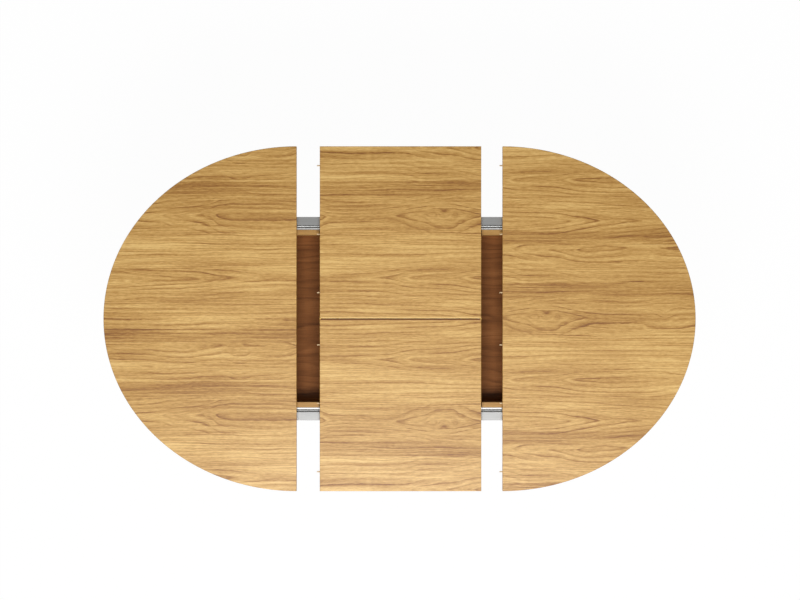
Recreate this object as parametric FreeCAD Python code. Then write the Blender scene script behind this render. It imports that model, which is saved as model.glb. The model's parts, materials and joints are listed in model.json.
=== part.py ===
"""Butterfly leaf table: elliptical top in two sliding halves, with a self-storing folding leaf.

Units are millimetres. +X runs along the table, the way the tops slide; +Y is the back; +Z is up.
The origin is on the floor, under the middle of the table. The tops stand open and the leaf is
unfolded between them, which is the rest position of every joint.
"""
import FreeCAD
import Part
import math
import os

V = FreeCAD.Vector
X_AXIS, Y_AXIS, Z_AXIS = V(1, 0, 0), V(0, 1, 0), V(0, 0, 1)
FRONT, BACK = -1, 1
LEFT, RIGHT = -1, 1

# ---- driving dimensions ------------------------------------------------------------------

# table top
table_height = 760.0
panel_thickness = 22.0
top_half_length = 598.0      # from the cut edge to the tip of the ellipse
top_half_width = 534.0       # from the middle line to the long side
leaf_width = 500.0           # along X
opening_gap = 69.0           # between the tops and the leaf at rest, the mean of both ends
rest_shift = -3.0            # X of both tops at rest: the left gap is the wider one
seam_gap = 1.5               # between the two leaf halves
arris = 1.5                  # rounding of the panels' upper edges

# guide pins between the panels
pin_radius = 2.0
pin_reach = 9.5              # free length
pin_seat = 18.0              # length glued into the panel
pin_hole_depth = 14.0
pin_hole_clearance = 0.3
pin_glue_gap = 0.05
pin_rows = (81.0, 262.0, 474.5)   # distances from the middle line

# wooden frame
frame_half_length = 470.0
tray_half_width = 260.0
rail_thickness = 16.0
floor_thickness = 8.0
floor_groove_depth = 6.0
floor_fit = 0.2
rail_below_floor = 4.0
notch_clearance = 3.0        # beyond the leaf's ends, along X
notch_corner_radius = 2.0
notch_gap = 2.5              # under the stored leaf, which hangs on its arms
corner_block_size = 60.0
corner_block_height = 58.0
corner_block_chamfer = 24.0
frame_bolt_radius = 3.5
frame_bolt_head_radius = 5.0
frame_bolt_head_height = 3.5
frame_bolt_length = 50.0
frame_bolt_inset = 20.0      # from the rail's upper and lower edges

# legs
leg_top_radius = 29.0
leg_foot_radius = 17.0
leg_straight = 90.0          # from the leg's top down to where it starts to taper
leg_splay_x = 38.0
leg_splay_y = 66.0
leg_plate_size = 74.0
leg_plate_thickness = 3.0
leg_plate_corner = 6.0
leg_stud_radius = 4.0
leg_stud_reach = 36.0        # into the leg, and into the corner block
leg_glide_radius = 15.0
leg_glide_height = 5.0
leg_glide_rounding = 1.2
plate_screw_pitch = 54.0

# aluminium slide rails, fixed to the frame
slide_width = 40.0
slide_height = 40.0
slide_wall = 2.5
slide_lip = 4.5              # width of the inner lip beside the groove
groove_radius = 5.0
groove_wall_depth = 3.0      # straight part of the groove's walls
flange_edge_height = 5.0
slide_screw_count = 3        # on each side of the notch
slide_screw_from_notch = 24.0
slide_screw_from_end = 32.0
slide_screw_height = 9.0     # above the slide rail's lower edge
stop_length = 9.7

# aluminium runners, fixed under the tops
runner_length = 420.0
runner_inset = 10.0          # from the top's cut edge
runner_plate = 3.0
runner_gap = 1.0             # between the runner's plate and the slide rail
runner_wall = 2.5
runner_side_gap = 2.5
runner_hook_width = 23.0
runner_hook_drop = 5.0       # below the slide rail's flange
bead_clearance = 0.5
bead_neck = 4.0
glide_block_length = 40.0
glide_block_width = 13.0
glide_block_pitch = 62.0
glide_block_count = 2        # on each runner
glide_fit = 0.3
opening_travel = 20.0        # of the tops, from the mean gap to the stops
stop_fit = 0.3               # left between a glide block and its stop at the end of that travel
runner_screw_places = (30.0, 150.0, 280.0, 400.0)

# leaf storage
stack_gap = 0.5              # between the folded halves
rest_gap = 0.3               # between a pad and what it lies on
closing_clearance = 3.0      # between the stored leaf and the tops
storage_offset = 2.0         # of the stored leaf towards the back
pad_radius = 8.0
pad_inset_x = 35.0           # from the leaf's ends

# swing fitting under the leaf
tip_places = (-235.0, -70.0)   # Y of the arm tips on the front leaf, at rest
arm_plane = 190.0            # X of the arms' middle
arm_thickness = 5.0
arm_end_radius = 9.0
arm_waist = 14.0
shaft_radius = 5.0
shaft_overhang = 6.0
tip_pin_radius = 4.0
tip_drop = 12.0              # of the arm tips below the leaf's underside
pivot_running_gap = 0.1
open_pivot_gap = 0.5         # at the second pair of arm tips
ear_thickness = 3.0
ear_side_gap = 3.0
bracket_foot_length = 28.0
bracket_foot_width = 32.0
bracket_screw_reach = 18.0   # from the ear, along X
bracket_screw_inset = 8.0    # from the foot's ends
bracket_screw_cover = 1.0    # wood left below the floor brackets' screws
tip_pin_overhang = 1.5
bracket_floor_gap = 4.0

# end hinges of the leaf
hinge_pin_radius = 1.0
hinge_ear_radius = 2.5
hinge_ear_thickness = 1.5
hinge_plate_length = 44.0
hinge_plate_height = 9.0
hinge_plate_inset = 1.0      # below the leaf's upper face
hinge_screw_inset = 8.0      # from the ends of a plate's thick part
hinge_side_gap = 0.15
hinge_swing_gap = 0.5
hinge_fit = 0.05

# wood screws
screw_radius = 1.75
screw_head_radius = 3.5
screw_head_height = 2.0
screw_length = 15.0

# ---- derived places ----------------------------------------------------------------------

panel_underside = table_height - panel_thickness
slide_top = panel_underside - runner_plate - runner_gap
leaf_half_width = leaf_width / 2
cut_edge = leaf_half_width + opening_gap
seam_face = seam_gap / 2
leaf_half_length = top_half_width - seam_face

pad_height = panel_underside - slide_top - rest_gap
storage_drop = 2 * panel_thickness + stack_gap + pad_height + closing_clearance
storage_travel = seam_face + leaf_half_length / 2 + storage_offset
arm_length = (storage_travel ** 2 + storage_drop ** 2) / (2 * storage_travel)
stored_underside = panel_underside - storage_drop
pivot_height = stored_underside - tip_drop
tip_height = panel_underside - tip_drop
pivot_places = tuple(tip + storage_travel - arm_length for tip in tip_places)

floor_top = pivot_height - arm_end_radius - bracket_floor_gap
floor_bottom = floor_top - floor_thickness
rail_bottom = floor_bottom - rail_below_floor
rail_top = slide_top
rail_outer = tray_half_width + rail_thickness
end_rail_inner = frame_half_length - rail_thickness
leg_top = rail_bottom - leg_plate_thickness

slide_outer = rail_outer + slide_width
groove_middle = rail_outer + slide_lip + groove_radius
groove_axis_height = slide_top - groove_wall_depth
flange_start = groove_middle + groove_radius
flange_underside = slide_top - slide_wall
stack_middle = (flange_start + slide_outer) / 2

hinge_axis_height = table_height + stack_gap / 2
hinge_depth = 2 * (hinge_ear_thickness + hinge_side_gap)
hinge_back = leaf_half_width - hinge_depth
hinge_thick_start = hinge_ear_radius + hinge_swing_gap


# ---- helpers -----------------------------------------------------------------------------

def block(x0, x1, y0, y1, z0, z1):
    """A rectangular block between two corners, given in any order."""
    low = V(min(x0, x1), min(y0, y1), min(z0, z1))
    return Part.makeBox(abs(x1 - x0), abs(y1 - y0), abs(z1 - z0), low)


def rod(radius, start, axis, length):
    """A round bar from start along axis."""
    return Part.makeCylinder(radius, length, start, axis)


def prism(points, direction):
    """A flat outline of straight sides, extruded along direction."""
    return Part.Face(Part.makePolygon(points + [points[0]])).extrude(direction)


def wood_screw(head_face, axis, length=screw_length):
    """A countersunk screw whose head lies flush at head_face and whose shank runs along axis."""
    head = Part.makeCone(screw_head_radius, screw_radius, screw_head_height, head_face, axis)
    shank_start = head_face + axis * screw_head_height
    return head.fuse(rod(screw_radius, shank_start, axis, length - screw_head_height))


def group(shapes):
    """Separate solids of one node."""
    return Part.makeCompound([solid for shape in shapes for solid in shape.Solids])


def mirrored_x(shape):
    return shape.mirror(V(0, 0, 0), X_AXIS)


def mirrored_y(shape):
    return shape.mirror(V(0, 0, 0), Y_AXIS)


def on_side(shape, side):
    """A shape drawn on the back side, moved to the named side."""
    return shape if side == BACK else mirrored_y(shape)


def on_end(shape, end):
    """A shape drawn at the right end, moved to the named end."""
    return shape if end == RIGHT else mirrored_x(shape)


def four_corners(shape):
    """Copies of a shape drawn at the back right corner, one in each corner."""
    return [on_side(on_end(shape, end), side) for end in (LEFT, RIGHT) for side in (FRONT, BACK)]


def edges_at_height(shape, height):
    return [e for e in shape.Edges
            if abs(e.BoundBox.ZMin - height) < 1e-4 and abs(e.BoundBox.ZMax - height) < 1e-4]


def runs_along_y(edge):
    return edge.BoundBox.XLength < 1e-4 and edge.BoundBox.YLength > 1e-4


def stadium(centre_a, centre_b, radius_a, radius_b, thickness):
    """A flat link in a YZ plane: two round ends joined by straight sides, extruded along X."""
    along = centre_b - centre_a
    length = along.Length
    along.normalize()
    across = X_AXIS.cross(along)
    lean = (radius_a - radius_b) / length
    rise = math.sqrt(1 - lean * lean)
    upper, lower = along * lean + across * rise, along * lean - across * rise
    edges = [
        Part.LineSegment(centre_a + upper * radius_a, centre_b + upper * radius_b).toShape(),
        Part.Arc(centre_b + upper * radius_b, centre_b + along * radius_b,
                 centre_b + lower * radius_b).toShape(),
        Part.LineSegment(centre_b + lower * radius_b, centre_a + lower * radius_a).toShape(),
        Part.Arc(centre_a + lower * radius_a, centre_a - along * radius_a,
                 centre_a + upper * radius_a).toShape(),
    ]
    return Part.Face(Part.Wire(edges)).extrude(X_AXIS * thickness)


# ---- guide pins --------------------------------------------------------------------------

def guide_pin(edge_x, y, towards):
    """A pin with a rounded nose, glued into a panel edge at edge_x and pointing along X."""
    axis = X_AXIS * towards
    middle = V(edge_x, y, table_height - panel_thickness / 2)
    start = middle - axis * pin_seat
    nose = middle + axis * (pin_reach - pin_radius)
    shank = rod(pin_radius, start, axis, pin_seat + pin_reach - pin_radius)
    return shank.fuse(Part.makeSphere(pin_radius, nose)).removeSplitter()


def pin_socket(edge_x, y, inwards):
    """The hole that receives a guide pin's free end."""
    middle = V(edge_x, y, table_height - panel_thickness / 2)
    return rod(pin_radius + pin_hole_clearance, middle, X_AXIS * inwards, pin_hole_depth)


def pin_glue_hole(edge_x, y, inwards):
    """The hole that a guide pin is glued into."""
    middle = V(edge_x, y, table_height - panel_thickness / 2)
    return rod(pin_radius + pin_glue_gap, middle, X_AXIS * inwards, pin_seat + pin_glue_gap)


# ---- table tops --------------------------------------------------------------------------

def top_rim():
    """The curved edge of a top in two equal arcs, at the panel's underside."""
    middle = V(cut_edge, 0, panel_underside)
    if top_half_length >= top_half_width:
        curve = Part.Ellipse(middle, top_half_length, top_half_width)
        bounds = (-math.pi / 2, 0, math.pi / 2)
    else:
        side, tip = middle + Y_AXIS * top_half_width, middle + X_AXIS * top_half_length
        curve = Part.Ellipse(side, tip, middle)
        bounds = (0, math.pi / 2, math.pi)
    return [Part.Arc(curve, a, b).toShape() for a, b in zip(bounds, bounds[1:])]


def top_panel(end):
    """Half of the elliptical top, with its cut edge towards the leaf."""
    corners = [V(cut_edge, side * top_half_width, panel_underside) for side in (BACK, FRONT)]
    cut = Part.LineSegment(*corners).toShape()
    panel = Part.Face(Part.Wire(Part.__sortEdges__(top_rim() + [cut]))).extrude(Z_AXIS * panel_thickness)
    panel = panel.makeFillet(arris, [e for e in edges_at_height(panel, table_height) if not runs_along_y(e)])
    panel = panel.makeFillet(arris, [e for e in edges_at_height(panel, table_height)
                                     if runs_along_y(e) and e.BoundBox.XMin < cut_edge + arris / 2])
    hole = pin_socket if end == LEFT else pin_glue_hole
    cuts = [hole(cut_edge, y, 1) for row in pin_rows for y in (-row, row)]
    cuts += [screw for side in (FRONT, BACK) for screw in runner_screws(RIGHT, side)]
    return on_end(panel.cut(cuts), end)


def top_guide_pins():
    """The six pins on the right top's cut edge."""
    return group([guide_pin(cut_edge, y, LEFT) for row in pin_rows for y in (-row, row)])


# ---- leaf --------------------------------------------------------------------------------

def leaf_panel(side):
    """One half of the leaf, from the seam to the table's long side."""
    panel = block(-leaf_half_width, leaf_half_width, seam_face, top_half_width,
                  panel_underside, table_height)
    panel = panel.makeFillet(arris, edges_at_height(panel, table_height))
    cuts = [hinge_mortise(end) for end in (LEFT, RIGHT)]
    for row in pin_rows:
        cuts.append(pin_glue_hole(-leaf_half_width, row, 1))
        cuts.append(pin_socket(leaf_half_width, row, -1))
    cuts += [on_end(screw, end) for end in (LEFT, RIGHT) for screw in hinge_screws()]
    panel = on_side(panel.cut(cuts), side)
    if side == FRONT:
        panel = panel.cut(leaf_bracket_screws())
    return panel


def leaf_guide_pins(side):
    """The three pins on one leaf half's left edge."""
    return group([on_side(guide_pin(-leaf_half_width, row, LEFT), side) for row in pin_rows])


def leaf_pads(side):
    """Felt pads under the leaf, over the slide rail's flange."""
    low = panel_underside - pad_height
    pad = rod(pad_radius, V(leaf_half_width - pad_inset_x, stack_middle, low), Z_AXIS, pad_height)
    return group([on_side(on_end(pad, end), side) for end in (LEFT, RIGHT)])


# ---- end hinges of the leaf --------------------------------------------------------------
# Each end of the seam has two plates let into the panels' end faces. Their ears overlap on one
# pin, whose axis lies halfway between the folded halves' faces, so the halves fold flat.

def hinge_mortise(end):
    """The pocket in a panel's end face for the plate and for both ears."""
    inner, outer = hinge_back - hinge_fit, leaf_half_width + 1
    low, high = hinge_plate_span()
    swing = rod(hinge_thick_start, V(inner, 0, hinge_axis_height), X_AXIS, outer - inner)
    bed = block(inner, outer, 0, hinge_plate_length + hinge_fit, low - hinge_fit, high + hinge_fit)
    return on_end(swing.fuse(bed), end)


def hinge_plate_span():
    """Lowest and highest Z of a hinge plate."""
    high = table_height - hinge_plate_inset
    return high - hinge_plate_height, high


def hinge_screws():
    """Screws of one plate at the right end, on the back half."""
    height = sum(hinge_plate_span()) / 2
    places = (hinge_thick_start + hinge_screw_inset, hinge_plate_length - hinge_screw_inset)
    return [wood_screw(V(leaf_half_width, y, height), -X_AXIS) for y in places]


def hinge_plate(side):
    """A plate at the right end of the back half, with the ear that the named half carries."""
    back = side == BACK
    low, high = hinge_plate_span()
    ear_start = hinge_back if back else hinge_back + hinge_ear_thickness + hinge_side_gap
    ear = rod(hinge_ear_radius, V(ear_start, 0, hinge_axis_height), X_AXIS, hinge_ear_thickness)
    neck = block(ear_start, ear_start + hinge_ear_thickness, seam_face, hinge_thick_start + 1, low, high)
    thick = block(hinge_back, leaf_half_width, hinge_thick_start, hinge_plate_length, low, high)
    hole_radius = hinge_pin_radius + (hinge_fit if back else 0)
    hole = rod(hole_radius, V(hinge_back - 1, 0, hinge_axis_height), X_AXIS, hinge_depth + 2)
    return ear.fuse([neck, thick]).cut(hinge_screws() + [hole]).removeSplitter()


def hinge_plates(side):
    return group([on_side(on_end(hinge_plate(side), end), side) for end in (LEFT, RIGHT)])


def hinge_plate_screws(side):
    return group([on_side(on_end(screw, end), side) for end in (LEFT, RIGHT) for screw in hinge_screws()])


def hinge_pins():
    """The two pins, pressed into the front plates' ears."""
    pin = rod(hinge_pin_radius, V(hinge_back, 0, hinge_axis_height), X_AXIS, hinge_depth - hinge_side_gap)
    return group([on_end(pin, end) for end in (LEFT, RIGHT)])


# ---- swing fitting -----------------------------------------------------------------------
# Four arms of equal length carry the front leaf half on a parallelogram. Swung over, they lie
# flat under it, and the folded leaf hangs in the notches of the side rails.

def arm(number, end):
    """An arm from its shaft to its tip, at rest."""
    inner = arm_plane - arm_thickness / 2
    pivot = V(inner, pivot_places[number], pivot_height)
    tip = V(inner, tip_places[number], tip_height)
    bar = stadium(pivot, tip, arm_end_radius, arm_waist / 2, arm_thickness)
    tip_eye = rod(arm_end_radius, tip, X_AXIS, arm_thickness)
    gap = pivot_running_gap if number == 0 else open_pivot_gap
    tip_hole = rod(tip_pin_radius + gap, tip, X_AXIS, arm_thickness)
    shaft_hole = rod(shaft_radius, pivot, X_AXIS, arm_thickness)
    return on_end(bar.fuse(tip_eye).removeSplitter().cut([tip_hole, shaft_hole]), end)


def swing_arms(number):
    return group([arm(number, end) for end in (LEFT, RIGHT)])


def swing_shaft(number):
    """The cross shaft that joins a pair of arms."""
    reach = arm_plane + arm_thickness / 2 + ear_side_gap + ear_thickness + shaft_overhang
    return rod(shaft_radius, V(-reach, pivot_places[number], pivot_height), X_AXIS, 2 * reach)


def floor_bracket(number):
    """A bracket on the tray floor, outside the right arm."""
    y = pivot_places[number]
    ear_x = arm_plane + arm_thickness / 2 + ear_side_gap
    half = bracket_foot_width / 2
    foot = block(ear_x, ear_x + bracket_foot_length, y - half, y + half, floor_top, floor_top + ear_thickness)
    plate = block(ear_x, ear_x + ear_thickness, y - arm_end_radius, y + arm_end_radius, floor_top,
                  pivot_height)
    head = rod(arm_end_radius, V(ear_x, y, pivot_height), X_AXIS, ear_thickness)
    hole = rod(shaft_radius + pivot_running_gap, V(ear_x - 1, y, pivot_height), X_AXIS, ear_thickness + 2)
    return foot.fuse([plate, head]).removeSplitter().cut([hole] + floor_screws_of(number))


def floor_screws_of(number):
    """Screws of one floor bracket at the right end."""
    y = pivot_places[number]
    x = arm_plane + arm_thickness / 2 + ear_side_gap + bracket_screw_reach
    shift = bracket_foot_width / 2 - bracket_screw_inset
    length = ear_thickness + floor_thickness - bracket_screw_cover
    return [wood_screw(V(x, y + s * shift, floor_top + ear_thickness), -Z_AXIS, length) for s in (-1, 1)]


def floor_brackets():
    return group([on_end(floor_bracket(number), end) for number in (0, 1) for end in (LEFT, RIGHT)])


def floor_bracket_screws():
    return [on_end(screw, end) for number in (0, 1) for end in (LEFT, RIGHT)
            for screw in floor_screws_of(number)]


def leaf_bracket(number):
    """A bracket under the front leaf half, inside the right arm."""
    y = tip_places[number]
    ear_x = arm_plane - arm_thickness / 2 - ear_side_gap
    half = bracket_foot_width / 2
    foot = block(ear_x - bracket_foot_length, ear_x, y - half, y + half, panel_underside - ear_thickness,
                 panel_underside)
    plate = block(ear_x - ear_thickness, ear_x, y - arm_end_radius, y + arm_end_radius, tip_height,
                  panel_underside)
    head = rod(arm_end_radius, V(ear_x - ear_thickness, y, tip_height), X_AXIS, ear_thickness)
    hole = rod(tip_pin_radius, V(ear_x - ear_thickness - 1, y, tip_height), X_AXIS, ear_thickness + 2)
    return foot.fuse([plate, head]).removeSplitter().cut([hole] + leaf_screws_of(number))


def leaf_screws_of(number):
    """Screws of one leaf bracket at the right end."""
    y = tip_places[number]
    x = arm_plane - arm_thickness / 2 - ear_side_gap - bracket_screw_reach
    shift = bracket_foot_width / 2 - bracket_screw_inset
    return [wood_screw(V(x, y + s * shift, panel_underside - ear_thickness), Z_AXIS) for s in (-1, 1)]


def leaf_brackets():
    return group([on_end(leaf_bracket(number), end) for number in (0, 1) for end in (LEFT, RIGHT)])


def leaf_bracket_screws():
    return [on_end(screw, end) for number in (0, 1) for end in (LEFT, RIGHT)
            for screw in leaf_screws_of(number)]


def tip_pins():
    """The pins that the arm tips turn on, riveted into the leaf brackets."""
    pins = []
    for number in (0, 1):
        start = arm_plane - arm_thickness / 2 - ear_side_gap - ear_thickness
        reach = ear_thickness + ear_side_gap + arm_thickness + tip_pin_overhang
        pins.append(rod(tip_pin_radius, V(start, tip_places[number], tip_height), X_AXIS, reach))
    return group([on_end(pin, end) for pin in pins for end in (LEFT, RIGHT)])


# ---- wooden frame ------------------------------------------------------------------------

def side_rail(side):
    """A side rail with the notch that takes the stored leaf, and a groove for the tray floor."""
    notch_end = leaf_half_width + notch_clearance
    notch_bottom = stored_underside - notch_gap
    right_half = [(frame_half_length, rail_bottom), (frame_half_length, rail_top), (notch_end, rail_top),
                  (notch_end, notch_bottom)]
    left_half = [(-x, z) for x, z in reversed(right_half)]
    rail = prism([V(x, tray_half_width, z) for x, z in right_half + left_half], Y_AXIS * rail_thickness)
    inner_corners = [e for e in rail.Edges if abs(abs(e.BoundBox.Center.x) - notch_end) < 1e-3
                     and abs(e.BoundBox.ZMax - notch_bottom) < 1e-3 and e.BoundBox.YLength > 1]
    rail = rail.makeFillet(notch_corner_radius, inner_corners)
    return on_side(rail.cut([floor_groove()] + frame_bolts_of_corners() + slide_screws()), side)


def end_rail(end):
    rail = block(end_rail_inner, frame_half_length, -tray_half_width, tray_half_width, rail_bottom, rail_top)
    bolts = [on_side(bolt, side) for side in (FRONT, BACK) for bolt in frame_bolts()]
    return on_end(rail.cut([floor_groove()] + bolts), end)


def floor_groove():
    """The groove round the frame's inside that holds the tray floor."""
    return block(-end_rail_inner - floor_groove_depth, end_rail_inner + floor_groove_depth,
                 -tray_half_width - floor_groove_depth, tray_half_width + floor_groove_depth,
                 floor_bottom - floor_fit, floor_top + floor_fit)


def tray_floor():
    """The tray's floor, let into the rails and cut out round the corner blocks."""
    reach_x = end_rail_inner + floor_groove_depth - floor_fit
    reach_y = tray_half_width + floor_groove_depth - floor_fit
    panel = block(-reach_x, reach_x, -reach_y, reach_y, floor_bottom, floor_top)
    cut_x = end_rail_inner - corner_block_size - floor_fit
    cut_y = tray_half_width - corner_block_size - floor_fit
    corner = block(cut_x, reach_x + 1, cut_y, reach_y + 1, floor_bottom - 1, floor_top + 1)
    return panel.cut(four_corners(corner) + floor_bracket_screws())


def leg_axis():
    """X and Y of the back right leg's stud."""
    return end_rail_inner - corner_block_size / 2, tray_half_width - corner_block_size / 2


def corner_blocks():
    """Blocks in the frame's corners, which the legs are bolted to."""
    x1, y1 = end_rail_inner, tray_half_width
    x0, y0, c = x1 - corner_block_size, y1 - corner_block_size, corner_block_chamfer
    outline = [V(x1, y1, rail_bottom), V(x0, y1, rail_bottom), V(x0, y0 + c, rail_bottom),
               V(x0 + c, y0, rail_bottom), V(x1, y0, rail_bottom)]
    solid = prism(outline, Z_AXIS * corner_block_height)
    return group(four_corners(solid.cut([leg_stud()] + plate_screws())))


def frame_bolts():
    """Bolts through the back rail into the right end rail."""
    x = (end_rail_inner + frame_half_length) / 2
    bolts = []
    for z in (rail_bottom + frame_bolt_inset, rail_top - frame_bolt_inset):
        head_face = V(x, rail_outer, z)
        head = Part.makeCone(frame_bolt_head_radius, frame_bolt_radius, frame_bolt_head_height, head_face,
                             -Y_AXIS)
        shank = rod(frame_bolt_radius, head_face - Y_AXIS * frame_bolt_head_height, -Y_AXIS,
                    frame_bolt_length - frame_bolt_head_height)
        bolts.append(head.fuse(shank))
    return bolts


def frame_bolts_of_corners():
    return [on_end(bolt, end) for end in (LEFT, RIGHT) for bolt in frame_bolts()]


# ---- legs --------------------------------------------------------------------------------

def leg_plates():
    """Steel plates between the frame's corners and the legs."""
    x, y = leg_axis()
    half = leg_plate_size / 2
    plate = block(x - half, x + half, y - half, y + half, leg_top, rail_bottom)
    corners = [e for e in plate.Edges if e.BoundBox.ZLength > leg_plate_thickness / 2]
    plate = plate.makeFillet(leg_plate_corner, corners)
    return group(four_corners(plate.cut([leg_stud()] + plate_screws())))


def plate_screws():
    """Screws of the back right leg plate; the outer ones go into the rails."""
    x, y = leg_axis()
    half = plate_screw_pitch / 2
    return [wood_screw(V(x + a * half, y + b * half, leg_top), Z_AXIS) for a in (-1, 1) for b in (-1, 1)]


def leg_stud():
    """The stud of the back right leg."""
    x, y = leg_axis()
    length = 2 * leg_stud_reach + leg_plate_thickness
    return rod(leg_stud_radius, V(x, y, leg_top - leg_stud_reach), Z_AXIS, length)


def leg(end, side):
    """A turned, tapered leg that leans outwards, with its top and foot cut level."""
    x, y = leg_axis()
    top = V(x, y, leg_top)
    foot = V(x + leg_splay_x, y + leg_splay_y, leg_glide_height)
    down = foot - top
    length = down.Length
    down.normalize()
    spare = leg_top_radius * math.hypot(leg_splay_x, leg_splay_y) / (top.z - foot.z)
    low = -length - spare
    shoulder = V(leg_top_radius, 0, spare)
    waist = V(leg_top_radius, 0, -leg_straight)
    toe = V(leg_foot_radius, 0, low)
    outline = [V(0, 0, spare), shoulder, waist, toe, V(0, 0, low)]
    turned = Part.Face(Part.makePolygon(outline + outline[:1])).revolve(V(0, 0, 0), Z_AXIS, 360)
    turned.Placement = FreeCAD.Placement(top, FreeCAD.Rotation(-Z_AXIS, down))
    reach = length + leg_top_radius
    level = block(x - reach, x + reach, y - reach, y + reach, leg_glide_height, leg_top)
    return on_side(on_end(turned.common(level).cut(leg_stud()), end), side)


def foot_glides():
    x, y = leg_axis()
    glide = rod(leg_glide_radius, V(x + leg_splay_x, y + leg_splay_y, 0), Z_AXIS, leg_glide_height)
    lower = edges_at_height(glide, 0)
    return group(four_corners(glide.makeFillet(leg_glide_rounding, lower)))


# ---- slide rails and runners -------------------------------------------------------------

def slide_rail(side):
    """The fixed aluminium rail: a web on the wooden rail, a round groove, and a broad flange."""
    outer_radius = groove_radius + slide_wall
    web_face = rail_outer + slide_wall
    web_drop = math.sqrt(outer_radius ** 2 - (groove_middle - web_face) ** 2)

    def at(y, z):
        return V(-frame_half_length, y, z)

    def line(a, b):
        return Part.LineSegment(a, b).toShape()

    corners = [at(rail_outer, slide_top), at(rail_outer + slide_lip, slide_top),
               at(rail_outer + slide_lip, groove_axis_height)]
    after_groove = [at(flange_start, groove_axis_height), at(flange_start, slide_top),
                    at(slide_outer, slide_top), at(slide_outer, slide_top - flange_edge_height),
                    at(slide_outer - slide_wall, slide_top - flange_edge_height),
                    at(slide_outer - slide_wall, flange_underside),
                    at(groove_middle + outer_radius, flange_underside),
                    at(groove_middle + outer_radius, groove_axis_height)]
    down_web = [at(web_face, groove_axis_height - web_drop), at(web_face, slide_top - slide_height),
                at(rail_outer, slide_top - slide_height), corners[0]]
    edges = [line(a, b) for path in (corners, after_groove, down_web) for a, b in zip(path, path[1:])]
    edges.append(Part.Arc(corners[-1], at(groove_middle, groove_axis_height - groove_radius),
                          after_groove[0]).toShape())
    edges.append(Part.Arc(after_groove[-1], at(groove_middle, groove_axis_height - outer_radius),
                          down_web[0]).toShape())
    profile = Part.Face(Part.Wire(Part.__sortEdges__(edges)))
    rail = profile.extrude(X_AXIS * (2 * frame_half_length))
    return on_side(rail.cut(slide_screws()), side)


def slide_screws():
    """Screws of the back slide rail, on both sides of the notch, below the groove."""
    start = leaf_half_width + notch_clearance + slide_screw_from_notch
    step = (frame_half_length - slide_screw_from_end - start) / (slide_screw_count - 1)
    z = slide_top - slide_height + slide_screw_height
    screws = []
    for number in range(slide_screw_count):
        for end in (LEFT, RIGHT):
            head_face = V(end * (start + number * step), rail_outer + slide_wall, z)
            screws.append(wood_screw(head_face, -Y_AXIS))
    return screws


def slide_stops():
    """Blocks under the flange's ends, which hold the runners' glide blocks back."""
    y = stack_middle
    stop = block(frame_half_length - stop_length, frame_half_length, y - glide_block_width / 2,
                 y + glide_block_width / 2, flange_underside - runner_hook_drop + glide_fit, flange_underside)
    return group(four_corners(stop))


def runner_screws(end, side):
    """Screws of one runner, up into the top."""
    inner = cut_edge + runner_inset
    screws = [wood_screw(V(inner + place, stack_middle, panel_underside - runner_plate), Z_AXIS)
              for place in runner_screw_places]
    return [on_side(on_end(screw, end), side) for screw in screws]


def runner(end, side):
    """A runner under a top: a plate, a bead in the slide rail's groove, and a hook under its flange."""
    inner = cut_edge + runner_inset
    outer = inner + runner_length
    plate_low = panel_underside - runner_plate
    side_face = slide_outer + runner_side_gap + runner_wall
    hook_top = flange_underside - runner_hook_drop
    plate = block(inner, outer, groove_middle - groove_radius - slide_lip, side_face, plate_low,
                  panel_underside)
    wall = block(inner, outer, side_face - runner_wall, side_face, hook_top - runner_wall, plate_low)
    hook = block(inner, outer, side_face - runner_hook_width, side_face, hook_top - runner_wall, hook_top)
    neck = block(inner, outer, groove_middle - bead_neck / 2, groove_middle + bead_neck / 2,
                 groove_axis_height, plate_low)
    bead = rod(groove_radius - bead_clearance, V(inner, groove_middle, groove_axis_height), X_AXIS,
               runner_length)
    body = plate.fuse([wall, hook, neck, bead]).removeSplitter()
    return on_side(on_end(body.cut(runner_screws(RIGHT, BACK)), end), side)


def glide_blocks(end):
    """Nylon blocks between the hooks and the slide rails' flanges."""
    low, high = flange_underside - runner_hook_drop, flange_underside - glide_fit
    half = glide_block_width / 2
    outer = frame_half_length - stop_length - stop_fit - opening_travel
    blocks = []
    for number in range(glide_block_count):
        x = outer - number * glide_block_pitch
        blocks.append(block(x - glide_block_length, x, stack_middle - half, stack_middle + half, low, high))
    return group([on_side(on_end(b, end), side) for side in (FRONT, BACK) for b in blocks])


# ---- build -------------------------------------------------------------------------------

def side_name(side):
    return "front" if side == FRONT else "back"


def end_name(end):
    return "left" if end == LEFT else "right"


def top_pieces():
    """The nodes of both tops, as far from the leaf as each other."""
    nodes = {"top_pins_right": top_guide_pins()}
    for end in (LEFT, RIGHT):
        name = end_name(end)
        nodes["top_" + name] = top_panel(end)
        nodes["glide_blocks_" + name] = glide_blocks(end)
        screws = [s for side in (FRONT, BACK) for s in runner_screws(end, side)]
        nodes["runner_screws_" + name] = group(screws)
        for side in (FRONT, BACK):
            nodes["runner_" + side_name(side) + "_" + name] = runner(end, side)
    return nodes


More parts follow.
